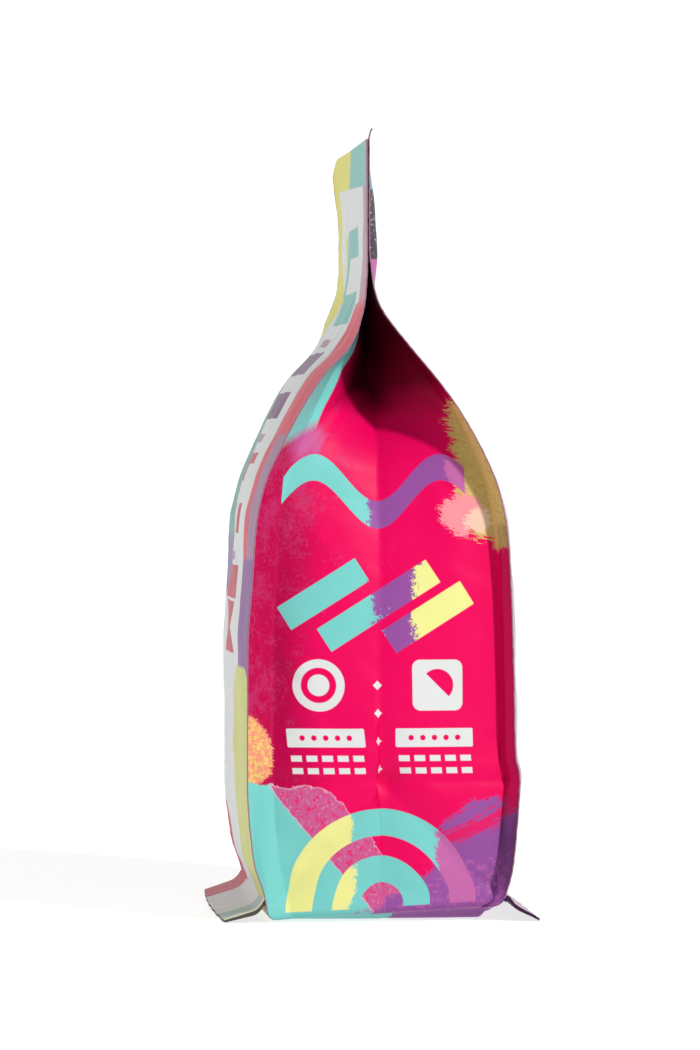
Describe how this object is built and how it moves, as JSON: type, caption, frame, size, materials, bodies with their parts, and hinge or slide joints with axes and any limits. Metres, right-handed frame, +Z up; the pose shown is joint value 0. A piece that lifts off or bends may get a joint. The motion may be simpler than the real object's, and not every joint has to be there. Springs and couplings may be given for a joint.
{
  "type": "coffee bag",
  "caption": "Filled, heat-sealed flat-bottom coffee pouch with side gussets that fold inwards at the neck, a thin top seal and outward foot fins; stands on its own base.",
  "frame": {"origin": "middle of the base's box, on the surface that the bag stands on", "axes": "+Z up along the bag's height, -Y to the front panel, +X to one side gusset"},
  "size_m": [0.134, 0.1036, 0.255],
  "materials": {
    "film": "matt laminated film with a soft sheen, printed in colour fields"
  },
  "bodies": {
    "root": {"bag": "film"}
  },
  "joints": []
}
